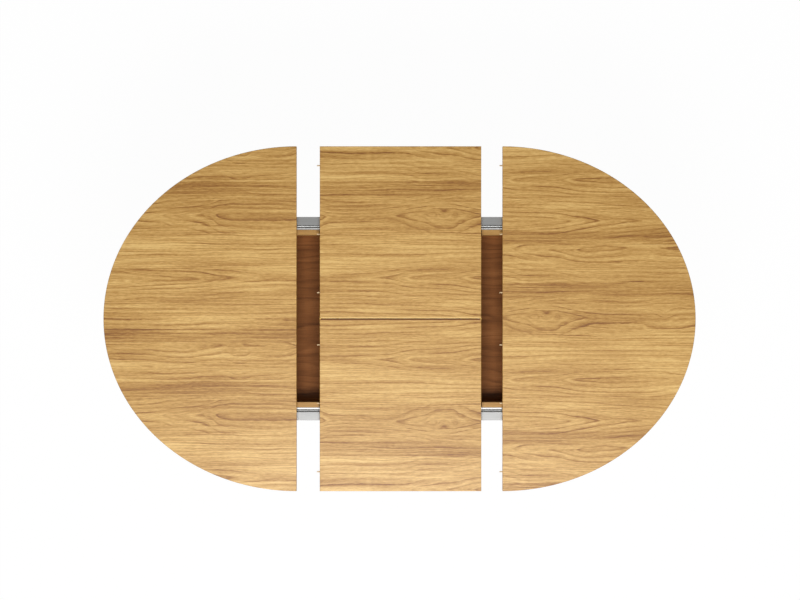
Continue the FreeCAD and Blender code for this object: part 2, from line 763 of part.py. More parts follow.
def build():
    """Every node of the table, by name."""
    nodes = {"tray_floor": tray_floor(), "corner_blocks": corner_blocks()}
    for side in (FRONT, BACK):
        name = side_name(side)
        nodes["side_rail_" + name] = side_rail(side)
        nodes["slide_rail_" + name] = slide_rail(side)
        nodes["leaf_" + name] = leaf_panel(side)
        nodes["leaf_pins_" + name] = leaf_guide_pins(side)
        nodes["leaf_pads_" + name] = leaf_pads(side)
        nodes["hinge_plates_" + name] = hinge_plates(side)
        nodes["hinge_screws_" + name] = hinge_plate_screws(side)
    for end in (LEFT, RIGHT):
        name = end_name(end)
        nodes["end_rail_" + name] = end_rail(end)
        for side in (FRONT, BACK):
            nodes["leg_" + side_name(side) + "_" + name] = leg(end, side)
    for name, shape in top_pieces().items():
        nodes[name] = shape.translated(V(rest_shift, 0, 0))
    bolts = [on_side(bolt, side) for side in (FRONT, BACK) for bolt in frame_bolts_of_corners()]
    nodes["frame_bolts"] = group(bolts)
    nodes["slide_screws"] = group([on_side(s, side) for side in (FRONT, BACK) for s in slide_screws()])
    nodes["slide_stops"] = slide_stops()
    nodes["leg_plates"] = leg_plates()
    nodes["leg_studs"] = group(four_corners(leg_stud()))
    nodes["leg_plate_screws"] = group([c for s in plate_screws() for c in four_corners(s)])
    nodes["foot_glides"] = foot_glides()
    nodes["hinge_pins"] = hinge_pins()
    nodes["swing_shaft_front"] = swing_shaft(0)
    nodes["swing_shaft_back"] = swing_shaft(1)
    nodes["swing_arms_front"] = swing_arms(0)
    nodes["swing_arms_back"] = swing_arms(1)
    nodes["floor_brackets"] = floor_brackets()
    nodes["floor_bracket_screws"] = group(floor_bracket_screws())
    nodes["leaf_brackets"] = leaf_brackets()
    nodes["leaf_bracket_screws"] = group(leaf_bracket_screws())
    nodes["tip_pins"] = tip_pins()
    return nodes


def main():
    os.makedirs("parts", exist_ok=True)
    for name, shape in build().items():
        if not shape.isValid():
            print("not valid:", name)
        shape.exportStep(os.path.join("parts", name + ".step"))
    swing = 180 - math.degrees(math.asin(storage_drop / arm_length))
    print("swing %.4f deg, arm %.4f" % (swing, arm_length))
    print("pivots y %.4f %.4f z %.4f" % (pivot_places + (pivot_height,)))
    print("tips z %.3f, hinge axis z %.3f" % (tip_height, hinge_axis_height))
    print("floor top %.2f, rails %.2f to %.2f" % (floor_top, rail_bottom, rail_top))


main()
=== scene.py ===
"""Looks of the butterfly leaf table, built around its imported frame.

The wooden, metal and plastic parts keep their solids and get their finishes here. Screws, bolts and
felt pads are modelled anew. Everything is in metres, with the floor at z = 0.
"""

from __future__ import annotations

import json
import logging
import math
from dataclasses import dataclass, field
from enum import Enum
from typing import Any, Iterable, Mapping, Sequence

import bmesh
import bpy
from mathutils import Matrix, Vector, noise

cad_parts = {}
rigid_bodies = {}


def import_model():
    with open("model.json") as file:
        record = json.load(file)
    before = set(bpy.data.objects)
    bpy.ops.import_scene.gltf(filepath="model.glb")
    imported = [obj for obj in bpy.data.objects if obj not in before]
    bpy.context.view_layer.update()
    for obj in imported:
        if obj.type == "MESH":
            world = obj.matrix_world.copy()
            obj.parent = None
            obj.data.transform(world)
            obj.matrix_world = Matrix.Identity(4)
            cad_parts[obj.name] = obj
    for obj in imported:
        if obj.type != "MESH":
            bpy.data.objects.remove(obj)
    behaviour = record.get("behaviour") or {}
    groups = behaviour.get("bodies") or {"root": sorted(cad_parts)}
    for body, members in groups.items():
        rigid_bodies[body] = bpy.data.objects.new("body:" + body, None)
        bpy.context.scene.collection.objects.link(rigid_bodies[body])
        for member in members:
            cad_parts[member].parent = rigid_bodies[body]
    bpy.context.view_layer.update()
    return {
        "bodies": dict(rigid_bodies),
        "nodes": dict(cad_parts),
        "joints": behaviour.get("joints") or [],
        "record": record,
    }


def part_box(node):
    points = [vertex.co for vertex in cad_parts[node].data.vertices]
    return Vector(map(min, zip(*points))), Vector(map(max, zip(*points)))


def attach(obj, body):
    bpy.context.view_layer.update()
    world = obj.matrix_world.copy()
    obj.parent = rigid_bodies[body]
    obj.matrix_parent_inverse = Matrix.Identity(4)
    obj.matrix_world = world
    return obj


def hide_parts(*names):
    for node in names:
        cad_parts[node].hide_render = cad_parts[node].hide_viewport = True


log = logging.getLogger("table")

Colour = tuple[float, float, float, float]
Stops = Sequence[tuple[float, Colour]]
Pair = tuple[float, float]
WHITE = (1.0, 1.0, 1.0, 1.0)


def paint(red: int, green: int, blue: int) -> Colour:
    """Turns a colour as a screen shows it into a linear one.

    Args:
        red: Red, 0 to 255.
        green: Green, 0 to 255.
        blue: Blue, 0 to 255.

    Returns:
        The linear colour with an alpha of 1.
    """
    parts = [c / 255 for c in (red, green, blue)]
    return tuple(c / 12.92 if c <= 0.04045 else ((c + 0.055) / 1.055) ** 2.4 for c in parts) + (1.0,)


# ---- shader graph ----


class Value:
    """A number that varies over a surface. Arithmetic on it adds Math nodes."""

    def __init__(self, graph: Graph, socket: bpy.types.NodeSocket) -> None:
        """Wraps one output socket of a graph."""
        self.graph = graph
        self.socket = socket

    def maths(self, operation: str, *others: Any, clamp: bool = False) -> Value:
        """Feeds this value and others to a Math node.

        Args:
            operation: The node's operation.
            others: The further operands, values or numbers.
            clamp: Whether the result is held between 0 and 1.

        Returns:
            The node's result.
        """
        sockets = dict(enumerate((self, *others)))
        made = self.graph.node("Math", {"operation": operation, "use_clamp": clamp}, sockets)
        return Value(self.graph, made.outputs[0])

    def __add__(self, other: Any) -> Value:
        """This plus other."""
        return self.maths("ADD", other)

    __radd__ = __add__

    def __sub__(self, other: Any) -> Value:
        """This minus other."""
        return self.maths("SUBTRACT", other)

    def __rsub__(self, other: float) -> Value:
        """A number minus this."""
        return self.maths("MULTIPLY_ADD", -1.0, other)

    def __mul__(self, other: Any) -> Value:
        """This times other."""
        return self.maths("MULTIPLY", other)

    __rmul__ = __mul__

    def __truediv__(self, other: Any) -> Value:
        """This divided by other."""
        return self.maths("DIVIDE", other)

    def __pow__(self, other: Any) -> Value:
        """This raised to other."""
        return self.maths("POWER", other)

    def __abs__(self) -> Value:
        """This without its sign."""
        return self.maths("ABSOLUTE")

    def __mod__(self, other: float) -> Value:
        """The part of this beyond the last whole multiple of other."""
        return self.maths("FLOORED_MODULO", other)

    def wrapped(self, low: float, high: float) -> Value:
        """This value wrapped into the span from low to high."""
        return self.maths("WRAP", high, low)

    def within(self, low: float, high: float) -> Value:
        """1 where this lies from low to high, and 0 elsewhere."""
        return self.maths("COMPARE", (low + high) / 2, (high - low) / 2)

    def clamped(self) -> Value:
        """This held between 0 and 1."""
        return self.maths("ADD", 0.0, clamp=True)

    def smooth(self, low: float, high: float, start: float = 0.0, end: float = 1.0) -> Value:
        """Takes this from one span to another along a smooth step.

        Args:
            low: The value that gives start.
            high: The value that gives end.
            start: The result at low and below.
            end: The result at high and above.

        Returns:
            The new value.
        """
        sockets = {0: self, 1: low, 2: high, 3: start, 4: end}
        made = self.graph.node("MapRange", {"interpolation_type": "SMOOTHSTEP"}, sockets)
        return Value(self.graph, made.outputs[0])

    def curve(self, points: Sequence[Pair]) -> Value:
        """This as the height of a smooth curve through points, all between 0 and 1."""
        made = self.graph.node("FloatCurve", {"points": points}, {1: self})
        return Value(self.graph, made.outputs[0])

    def ramp(self, stops: Stops) -> bpy.types.NodeSocket:
        """The colour that a ramp gives for this, by stops with a place from 0 to 1 and a colour."""
        return self.graph.node("ValToRGB", {"ramp": ("LINEAR", stops)}, {0: self}).outputs[0]

    def grey(self, stops: Sequence[Pair]) -> Value:
        """The number that a ramp of numbers gives for this."""
        return Value(self.graph, self.ramp([(place, (level,) * 3 + (1.0,)) for place, level in stops]))


class Graph:
    """The nodes of one material or of the sky."""

    def __init__(self, owner: bpy.types.Material | bpy.types.World) -> None:
        """Clears the nodes of the owner to start anew."""
        owner.use_nodes = True
        self.owner = owner
        self.tree = owner.node_tree
        self.tree.nodes.clear()
        self._coordinates: bpy.types.Node | None = None

    @classmethod
    def of_finish(cls, name: str) -> Graph:
        """The empty graph of a new material called name."""
        return cls(bpy.data.materials.new(name))

    def node(
        self,
        kind: str,
        settings: Mapping[str, Any] | None = None,
        sockets: Mapping[int | str, Any] | None = None,
    ) -> bpy.types.Node:
        """Adds one node.

        Args:
            kind: The node's type, without the word ShaderNode.
            settings: Its properties, and a ramp's stops or a curve's points.
            sockets: Links, values or plain numbers for its inputs.

        Returns:
            The node.
        """
        made = self.tree.nodes.new("ShaderNode" + kind)
        for name, value in (settings or {}).items():
            if name == "ramp":
                self._set_ramp(made.color_ramp, *value)
            elif name == "points":
                self._set_curve(made.mapping, value)
            else:
                setattr(made, name, value)
        for key, value in (sockets or {}).items():
            value = value.socket if isinstance(value, Value) else value
            if isinstance(value, bpy.types.NodeSocket):
                self.tree.links.new(value, made.inputs[key])
            else:
                made.inputs[key].default_value = value
        return made

    @staticmethod
    def _set_ramp(ramp: bpy.types.ColorRamp, interpolation: str, stops: Stops) -> None:
        """Gives a ramp its stops."""
        ramp.interpolation = interpolation
        while len(ramp.elements) < len(stops):
            ramp.elements.new(1.0)
        for element, (place, colour) in zip(ramp.elements, stops):
            element.position = place
            element.color = colour

    @staticmethod
    def _set_curve(mapping: bpy.types.CurveMapping, points: Sequence[Pair]) -> None:
        """Gives a curve its points."""
        line = mapping.curves[0]
        while len(line.points) < len(points):
            line.points.new(0.5, 0.5)
        for point, place in zip(line.points, points):
            point.location = place
            point.handle_type = "AUTO_CLAMPED"
        mapping.update()

    def _split(self, vector: bpy.types.NodeSocket) -> tuple[Value, Value, Value]:
        """The three parts of a vector."""
        return tuple(Value(self, out) for out in self.node("SeparateXYZ", sockets={0: vector}).outputs)

    def _coordinate(self, name: str) -> bpy.types.NodeSocket:
        """One output of the material's Texture Coordinate node."""
        if self._coordinates is None:
            self._coordinates = self.node("TexCoord")
        return self._coordinates.outputs[name]

    def place(self) -> tuple[Value, Value, Value]:
        """Where a point lies on the table."""
        return self._split(self._coordinate("Object"))

    def direction(self) -> tuple[Value, Value, Value]:
        """Which way the sky is looked at."""
        return self._split(self._coordinate("Generated"))

    def facing(self) -> tuple[Value, Value, Value]:
        """Which way the surface faces at a point."""
        return self._split(self._coordinate("Normal"))

    def noise(
        self,
        at: Sequence[Any],
        detail: float = 2.0,
        roughness: float = 0.5,
        scale: float = 1.0,
    ) -> Value:
        """Soft noise from 0 to 1.

        Args:
            at: Where it is read, as three values or numbers, already stretched.
            detail: How many finer layers it has.
            roughness: How strong the finer layers are.
            scale: How many times finer it is than the place.

        Returns:
            The noise.
        """
        vector = self.node("CombineXYZ", sockets=dict(enumerate(at))).outputs[0]
        sockets = {"Vector": vector, "Scale": scale, "Detail": detail, "Roughness": roughness}
        return Value(self, self.node("TexNoise", sockets=sockets).outputs[0])

    def speckle(self, number: Value) -> Value:
        """A random number from 0 to 1 for each whole number."""
        made = self.node("TexWhiteNoise", {"noise_dimensions": "1D"}, {"W": number.maths("FLOOR")})
        return Value(self, made.outputs[0])

    def mix(self, factor: Any, below: Any, above: Any, blend: str = "MIX") -> bpy.types.NodeSocket:
        """Two colours mixed.

        Args:
            factor: The share of the second one.
            below: The first colour.
            above: The second colour.
            blend: How they mix.

        Returns:
            The mixed colour.
        """
        settings = {"data_type": "RGBA", "blend_type": blend}
        return self.node("Mix", settings, {0: factor, 6: below, 7: above}).outputs[2]

    def bump(self, height: Value, distance: float) -> bpy.types.NodeSocket:
        """The normal of a surface with a fine relief of the given depth in metres."""
        sockets = {"Height": height, "Distance": distance, "Strength": 1.0}
        return self.node("Bump", sockets=sockets).outputs[0]

    def surface(self, sockets: Mapping[str, Any]) -> bpy.types.Material:
        """Ends the graph with a Principled shader and returns the material."""
        shader = self.node("BsdfPrincipled", sockets=sockets)
        self.node("OutputMaterial", sockets={"Surface": shader.outputs[0]})
        return self.owner


# ---- wood ----


@dataclass(frozen=True)
class Plank:
    """One strip of the veneer sheet and the way its rings lie.

    Attributes:
        start: Where it begins across the sheet.
        heart: Where its rings are centred across the sheet.
        density: Rings per metre, away from the heart.
        tone: How dark it is, 0 to 1.
        lean: How much closer its rings lie above the heart than below, from -0.5 to 0.5.
        swell: Rings added along the strip, as (place along the sheet, rings). Where they turn, the
            grain closes into an eye, and where they rise or fall, it points one way.
    """

    start: float
    heart: float
    density: float
    tone: float
    lean: float = 0.0
    swell: tuple[Pair, ...] = ()


@dataclass(frozen=True)
class Knot:
    """A pin knot in the sheet, which the rings flow round.

    Attributes:
        along: Its place along the sheet.
        across: Its place across the sheet.
        radius: How far its rings reach.
        rings: How many rings it adds at its middle.
    """

    along: float
    across: float
    radius: float
    rings: float


MIDDLE_SWELL = (
    (-1.0, 0.6), (-0.55, 0.75), (-0.30, 0.5), (-0.05, 0.62), (0.11, 0.93), (0.231, 1.93),
    (0.327, 2.93), (0.473, 3.93), (0.60, 4.5), (1.0, 4.8))
SHEET_PLANKS = (
    Plank(-0.0733, 0.0, 74.0, 0.47, 0.0, MIDDLE_SWELL),
    Plank(-0.0336, 0.0, 74.0, 0.27, 0.0, MIDDLE_SWELL),
    Plank(0.0562, 0.1268, 66.0, 0.24, -0.10, (
        (-1.0, 0.2), (-0.87, 0.6), (-0.828, 0.93), (-0.77, 1.25), (-0.64, 1.6), (-0.602, 1.93),
        (-0.55, 2.5), (-0.32, 3.2), (-0.05, 2.6), (0.011, 1.93), (0.06, 1.45), (0.16, 1.2),
        (0.194, 0.93), (0.25, 0.5), (0.42, 0.3), (0.62, 1.4), (1.0, 1.6))),
    Plank(0.1537, 0.06, 70.0, 0.19),
    Plank(0.2621, 0.3200, 62.0, 0.32, 0.30, (
        (-1.0, 3.9), (-0.90, 3.4), (-0.769, 2.93), (-0.70, 2.3), (-0.651, 1.93), (-0.61, 1.55),
        (-0.577, 0.93), (-0.555, 0.40), (-0.50, 0.10), (-0.40, 0.08), (-0.33, 0.25), (-0.28, 1.4),
        (-0.245, 2.4), (-0.17, 3.1), (-0.06, 2.95), (-0.004, 2.65), (0.03, 2.15), (0.076, 1.65),
        (0.144, 1.0), (0.18, 1.5), (0.25, 2.6), (0.32, 3.1), (0.40, 3.2), (0.50, 2.5),
        (0.62, 3.0), (1.0, 3.4))),
    Plank(0.3782, 0.30, 80.0, 0.43),
    Plank(0.4247, 0.5330, 58.0, 0.25, 0.0, (
        (-1.0, 1.6), (-0.80, 1.3), (-0.74, 0.93), (-0.70, 0.8), (-0.60, 1.3), (-0.545, 1.5),
        (-0.505, 0.93), (-0.462, 1.5), (-0.36, 2.1), (-0.25, 3.0), (-0.02, 3.0), (0.064, 2.2),
        (0.17, 1.5), (0.213, 0.93), (0.31, 0.4), (0.42, 0.85), (0.60, 0.5), (1.0, 0.9))),
)
SHEET_KNOTS = (
    Knot(0.137, 0.3210, 0.020, 1.5),
    Knot(0.505, 0.3290, 0.022, 1.3),
    Knot(-0.505, 0.5280, 0.022, 1.2),
)
SHEET_TOP = 0.5457
SHEET_REACH = 1.0        # the sheet's half length
SWELL_RANGE = 5.0        # rings at the top of a swell curve
HEART_ROUNDING = 0.004   # how far from its heart a strip's rings begin to straighten
PORE_DEPTH = 0.00010

# How dark the wood is on the way from one ring or thread to the next.
RING_SHAPE = ((0.0, 0.25), (0.08, 0.0), (0.45, 0.08), (0.76, 0.40), (0.90, 1.0), (1.0, 0.35))
THREAD_SHAPE = ((0.0, 0.0), (0.22, 0.0), (0.46, 0.9), (0.54, 1.0), (0.80, 0.0), (1.0, 0.0))
SAWN_RING_SHAPE = ((0.0, 0.3), (0.1, 0.0), (0.6, 0.25), (0.9, 1.0), (1.0, 0.4))

VENEER_TONES = (
    (0.0, paint(246, 204, 127)),
    (0.25, paint(221, 174, 98)),
    (0.50, paint(195, 145, 70)),
    (0.75, paint(164, 110, 39)),
    (1.0, paint(129, 76, 19)),
)


class Layout(Enum):
    """How a panel is cut from the veneer sheet: mirrored across y or not, and its shift."""

    LEFT_TOP = (False, 0.0, 0.0)
    LEAF = (True, 0.0, 0.0)
    RIGHT_TOP = (False, -0.317, 0.316)


@dataclass(frozen=True)
class SeamLine:
    """A line painted along the leaf's seam: a shadow where darker than the wood, a highlight where
    lighter.

    Attributes:
        front: Where it begins and where it shows in full, across the table.
        back: Where it fades and where it ends.
        shade: How much darker it is than the wood.
    """

    front: Pair
    back: Pair
    shade: float

    def over(self, y: Value) -> Value:
        """What the line adds to the wood's darkness at y."""
        return y.smooth(*self.front) * y.smooth(*self.back, 1.0, 0.0) * self.shade


SEAM_SHADOW = SeamLine((-0.0052, -0.0036), (0.0002, 0.0014), 0.85)
SEAM_GLINT = SeamLine((0.0004, 0.0016), (0.0042, 0.0056), -0.75)


@dataclass(frozen=True)
class Veneer:
    """Lacquered veneer in strips with cathedral grain, on a panel with banded edges.

    The numbers from line to hair say how much each kind of mark darkens the wood.
    """

    name: str
    layout: Layout
    roughness: float = 0.35
    line: float = 0.62      # the late wood of each ring
    thread: float = 0.30    # thin straight lines
    cloud: float = 0.60     # broad patches
    broad: float = 0.64     # broad bands along the grain
    streak: float = 1.10    # fine bands along the grain
    arched: float = 0.85    # bands that follow the rings near the heart
    fleck: float = 0.68     # short flecks
    hair: float = 0.60      # the finest lines
    seam: bool = False      # whether the leaf's seam, with its painted shadow and highlight, runs along the panel

    def sheet_place(self, x: Value, y: Value) -> tuple[Value, Value]:
        """Turns a place on the table into one along and across the sheet."""
        mirrored, along, across = self.layout.value
        u = x + along
        v = abs(y) if mirrored else y + across
        return u, v.wrapped(SHEET_PLANKS[0].start, SHEET_TOP)

    def rings(self, graph: Graph, u: Value, v: Value) -> tuple[Value, Value, Value, Value]:
        """Works out the rings of the whole sheet.

        Args:
            graph: The material's nodes.
            u: The place along the sheet.
            v: The place across the sheet.

        Returns:
            How many rings lie below a point, the tone of its strip, its place across the sheet along
            the sway of the grain, and how near it is to the heart of its strip, 0 to 1.
        """
        low, span = SHEET_PLANKS[0].start, SHEET_TOP - SHEET_PLANKS[0].start
        stops = [
            ((p.start - low) / span, ((p.heart - low) / span, p.density / 100, p.tone, p.lean + 0.5))
            for p in SHEET_PLANKS]
        strip = graph.node("ValToRGB", {"ramp": ("CONSTANT", stops)}, {0: (v - low) / span})
        split = graph.node("SeparateColor", sockets={0: strip.outputs[0]})
        heart, density, tone = (Value(graph, out) for out in split.outputs)
        lean = Value(graph, strip.outputs[1]) - 0.5
        sway = (graph.noise((u * 2.2, v * 9.0, 3.0)) - 0.5) * 0.030
        ripple = (graph.noise((u * 14.0, v * 55.0, 7.0)) - 0.5) * 0.0045
        bent = v + sway + ripple
        offset = bent - (heart * span + low)
        arch = (offset * offset + HEART_ROUNDING ** 2) ** 0.5 + offset * lean
        rings = arch * (density * 100.0)
        for knot in SHEET_KNOTS:
            a, b = (u - knot.along) * (0.6 / knot.radius), (bent - knot.across) / knot.radius
            rings = rings + (a * a + b * b + 1.0) ** -2.0 * knot.rings
        ends = [p.start for p in SHEET_PLANKS[1:]] + [SHEET_TOP]
        length = 2 * SHEET_REACH
        reach = (u + SHEET_REACH) / length
        for plank, end in zip(SHEET_PLANKS, ends):
            if plank.swell:
                points = [((a + SHEET_REACH) / length, b / SWELL_RANGE) for a, b in plank.swell]
                rings = rings + v.within(plank.start, end) * reach.curve(points) * SWELL_RANGE
        return rings, tone, bent, abs(offset).smooth(0.020, 0.052, 1.0, 0.0)

    def threads(self, graph: Graph, u: Value, count: Value, seed: float) -> Value:
        """Thin dark lines, one for each whole number that count passes.

        Args:
            graph: The material's nodes.
            u: The place along the sheet.
            count: The number that grows across the lines.
            seed: Makes one set differ from another.

        Returns:
            How dark the line is, from 0 to 1. Each one comes and goes along the sheet.
        """
        own = graph.speckle(count + seed)
        strength = graph.noise((u * 4.0, own * 90.0, seed)).smooth(0.46, 0.70)
        shape = (count % 1.0).grey(THREAD_SHAPE)
        return shape * strength * (own * 0.6 + 0.4)

    def darkness(self, graph: Graph, u: Value, v: Value) -> tuple[Value, Value]:
        """Works out how dark the wood is.

        Args:
            graph: The material's nodes.
            u: The place along the sheet.
            v: The place across the sheet.

        Returns:
            The darkness from 0 to 1, and the height of the fine relief.
        """
        rings, tone, bent, near = self.rings(graph, u, v)
        rings = rings + (graph.noise((u * 30.0, v * 110.0, 11.0), 3.0, 0.6) - 0.5) * 0.30
        line = (rings % 1.0).grey(RING_SHAPE) * (graph.speckle(rings) * 0.5 + 0.5)
        fading = graph.noise((u * 5.0, v * 40.0, 19.0)).smooth(0.36, 0.58, 0.25, 1.0)
        flow = bent * 150.0
        thread = self.threads(graph, u, flow, 41.0)
        thread = thread + self.threads(graph, u, flow * 1.7 + 0.4, 43.0) * 0.7
        cloud = graph.noise((u * 2.6, v * 24.0, 23.0)) - 0.5
        broad = graph.noise((u * 2.6, flow * 0.45, 27.0), 2.0, 0.6) - 0.5
        streak = graph.noise((u * 3.2, flow * 1.6, 29.0), 3.0, 0.62) - 0.5
        arched = graph.noise((u * 3.2, rings * 2.8 + v * 45.0, 47.0), 3.0, 0.64) - 0.5
        fleck = graph.noise((u * 55.0, flow * 2.4, 33.0), 2.0, 0.6) - 0.5
        hair = graph.noise((u * 30.0, flow * 7.0, 31.0), 2.0, 0.6) - 0.5
        pores = graph.noise((u * 130.0, v * 2600.0, 37.0), 1.0).smooth(0.62, 0.74)
        dark = (tone + line * fading * (near * 0.45 + 0.55) * self.line
                + thread * (1.0 - near * 0.8) * self.thread + cloud * self.cloud + broad * self.broad
                + streak * (1.0 - near * 0.6) * self.streak + arched * near * self.arched
                + fleck * self.fleck + hair * self.hair)
        relief = 1.0 - (pores * 0.7 + line * 0.3)
        return (dark + pores * 0.10).clamped(), relief

    def material(self) -> bpy.types.Material:
        """Builds the finish."""
        graph = Graph.of_finish(self.name)
        x, y, z = graph.place()
        upward = abs(graph.facing()[2])
        u, v = self.sheet_place(x, y)
        dark, relief = self.darkness(graph, u, v)
        band = graph.noise((x * 7.0, y * 7.0, z * 420.0), 3.0, 0.6) * 0.62 + 0.12
        side = upward.smooth(0.35, 0.6, 1.0, 0.0)
        arris = upward.smooth(0.45, 0.80) * upward.smooth(0.90, 0.995, 1.0, 0.0)
        dark = dark * (1.0 - side) + band * side + arris * 0.14
        # painted shadow and painted highlight along the leaf's seam
        if self.seam:
            dark = dark + SEAM_SHADOW.over(y) + SEAM_GLINT.over(y)
        colour = dark.ramp(VENEER_TONES)
        return graph.surface({
            "Base Color": colour,
            "Roughness": dark * 0.12 + (self.roughness - 0.04),
            "Normal": graph.bump(relief, PORE_DEPTH),
        })


class Axis(Enum):
    """Which way a piece of wood's grain runs."""

    ALONG_X = (0, 1, 2)
    ALONG_Y = (1, 0, 2)
    ALONG_Z = (2, 0, 1)


@dataclass(frozen=True)
class SolidWood:
    """Sawn wood: rings round a heart outside the piece, with streaks and pores along the grain."""

    name: str
    axis: Axis
    tones: Stops
    heart: Pair
    density: float = 260.0
    roughness: float = 0.42
    gloss: float = 0.30

    def material(self) -> bpy.types.Material:
        """Builds the finish."""
        graph = Graph.of_finish(self.name)
        place = graph.place()
        along, side, height = (place[i] for i in self.axis.value)
        drift = graph.noise((along * 3.0, side * 12.0, height * 12.0)) - 0.5
        a = side - self.heart[0]
        b = height - self.heart[1]
        rings = (a * a + b * b) ** 0.5 * self.density + drift * 5.0
        line = (rings % 1.0).grey(SAWN_RING_SHAPE) * (graph.speckle(rings) * 0.6 + 0.4)
        cloud = graph.noise((along * 4.0, side * 30.0, height * 30.0)) - 0.5
        streak = graph.noise((along * 14.0, side * 420.0, height * 420.0), 3.0, 0.6) - 0.5
        pores = graph.noise((along * 120.0, side * 2200.0, height * 2200.0), 1.0).smooth(0.6, 0.72)
        dark = (0.34 + line * 0.26 + cloud * 0.5 + streak * 0.5 + pores * 0.12).clamped()
        return graph.surface({
            "Base Color": dark.ramp(self.tones),
            "Roughness": dark * 0.15 + (self.roughness - 0.05),
            "Normal": graph.bump(1.0 - pores, PORE_DEPTH),
            "Specular IOR Level": self.gloss,
        })


# ---- metal, plastic and felt ----


GROOVE = (0.2816, 0.2907)         # across the table, from the middle line
GROOVE_DEPTHS = (0.7325, 0.7338)  # heights between which painted shade darkens the groove's walls
LIP = (0.2790, 0.2816)            # across the table, from the middle line
LIP_HEIGHTS = (0.7275, 0.7290)    # heights between which the painted highlight on the lip begins


@dataclass(frozen=True)
class ExtrudedMetal:
    """Aluminium drawn through a die: fine lines along x and a soft sheen.

    Attributes:
        name: The finish's name.
        base: Its colour.
        roughness: How dull it is.
        paints_groove_and_lip: Whether it has a groove beside a lip, with painted shade darkening the
            front groove and a painted highlight brightening the lip.
        painted_groove_shade: How much darker the painted shade makes the front groove.
        painted_lip_highlight: How much brighter the painted highlight makes the lip.
    """

    name: str
    base: Colour
    roughness: float = 0.42
    paints_groove_and_lip: bool = False
    painted_groove_shade: float = 0.32
    painted_lip_highlight: float = 1.8

    def material(self) -> bpy.types.Material:
        """Builds the finish."""
        graph = Graph.of_finish(self.name)
        x, y, z = graph.place()
        lines = graph.noise((x * 1.5, y * 2300.0, z * 2300.0), 2.0, 0.6)
        bands = graph.noise((x * 0.6, y * 260.0, z * 260.0))
        smudge = graph.noise((x * 12.0, y * 40.0, z * 40.0), 3.0) - 0.5
        shade = (lines * 0.5 + bands * 0.5).smooth(0.2, 0.8, 0.90, 1.06)
        if self.paints_groove_and_lip:
            # painted shade in the front groove
            groove = y.within(-GROOVE[1], -GROOVE[0]) * z.smooth(*GROOVE_DEPTHS, 1.0, 0.0)
            # painted highlight on the lip beside each groove
            lip = abs(y).within(*LIP) * z.smooth(*LIP_HEIGHTS)
            shade = shade * (1.0 - groove * self.painted_groove_shade) * (lip * self.painted_lip_highlight + 1.0)
        grey = graph.node("CombineColor", sockets={0: shade, 1: shade, 2: shade}).outputs[0]
        return graph.surface({
            "Base Color": graph.mix(1.0, self.base, grey, "MULTIPLY"),
            "Metallic": 1.0,
            "Roughness": lines * 0.16 + smudge * 0.10 + (self.roughness - 0.06),
            "Normal": graph.bump(lines, 0.00004),
        })


@dataclass(frozen=True)
class PlatedMetal:
    """Pressed or turned metal with a thin plating: cloudy sheen, small scratches and dull spots."""

    name: str
    base: Colour
    worn: Colour
    roughness: float = 0.34

    def material(self) -> bpy.types.Material:
        """Builds the finish."""
        graph = Graph.of_finish(self.name)
        x, y, z = graph.place()
        cloud = graph.noise((x, y, z), 4.0, 0.6, scale=55.0)
        scratches = graph.noise((x * 900.0, y * 110.0, z * 420.0))
        spots = graph.noise((x, y, z), scale=420.0).smooth(0.60, 0.75)
        mask = (cloud.smooth(0.40, 0.70) * 0.7 + spots * 0.3).clamped()
        return graph.surface({
            "Base Color": graph.mix(mask, self.base, self.worn),
            "Metallic": 1.0,
            "Roughness": cloud * 0.18 + spots * 0.10 + (self.roughness - 0.08),
            "Normal": graph.bump(scratches * 0.6 + spots * 0.4, 0.00003),
        })


@dataclass(frozen=True)
class Moulded:
    """Moulded plastic: even colour with a slight flow mottle, and a fine eroded texture."""

    name: str
    base: Colour
    shade: Colour
    roughness: float = 0.45
    grain: float = 1400.0

    def material(self) -> bpy.types.Material:
        """Builds the finish."""
        graph = Graph.of_finish(self.name)
        x, y, z = graph.place()
        flow = graph.noise((x, y, z), 3.0, scale=90.0)
        skin = graph.noise((x, y, z), scale=self.grain)
        return graph.surface({
            "Base Color": graph.mix(flow.smooth(0.35, 0.70), self.base, self.shade),
            "Roughness": flow * 0.12 + (self.roughness - 0.06),
            "Normal": graph.bump(skin, 0.00003),
        })


@dataclass(frozen=True)
class Felt:
    """Pressed wool felt: tangled fibres, matt and mottled."""

    name: str
    base: Colour
    fibre: Colour

    def material(self) -> bpy.types.Material:
        """Builds the finish."""
        graph = Graph.of_finish(self.name)
        x, y, z = graph.place()
        tangle = graph.noise((x, y, z), 4.0, 0.7, scale=900.0)
        wander = tangle * 0.004
        strands = graph.noise((x + wander, y - wander, z), scale=2600.0)
        mottle = graph.noise((x, y, z), scale=260.0)
        mask = (tangle * 0.4 + strands * 0.4 + mottle * 0.2).smooth(0.38, 0.62)
        return graph.surface({
            "Base Color": graph.mix(mask, self.base, self.fibre),
            "Roughness": strands * 0.15 + 0.83,
            "Normal": graph.bump(strands * 0.6 + tangle * 0.4, 0.00035),
            "Sheen Weight": 0.3,
            "Sheen Roughness": 0.5,
        })


FRAME_TONES = ((0.0, paint(218, 175, 106)), (0.4, paint(192, 146, 80)), (0.75, paint(152, 106, 50)),
               (1.0, paint(110, 72, 32)))
LEG_TONES = ((0.0, paint(220, 180, 120)), (0.4, paint(199, 155, 97)), (0.75, paint(160, 115, 65)),
             (1.0, paint(118, 80, 44)))
TRAY_TONES = ((0.0, paint(178, 117, 66)), (0.4, paint(136, 84, 43)), (0.75, paint(92, 52, 25)),
              (1.0, paint(54, 28, 13)))


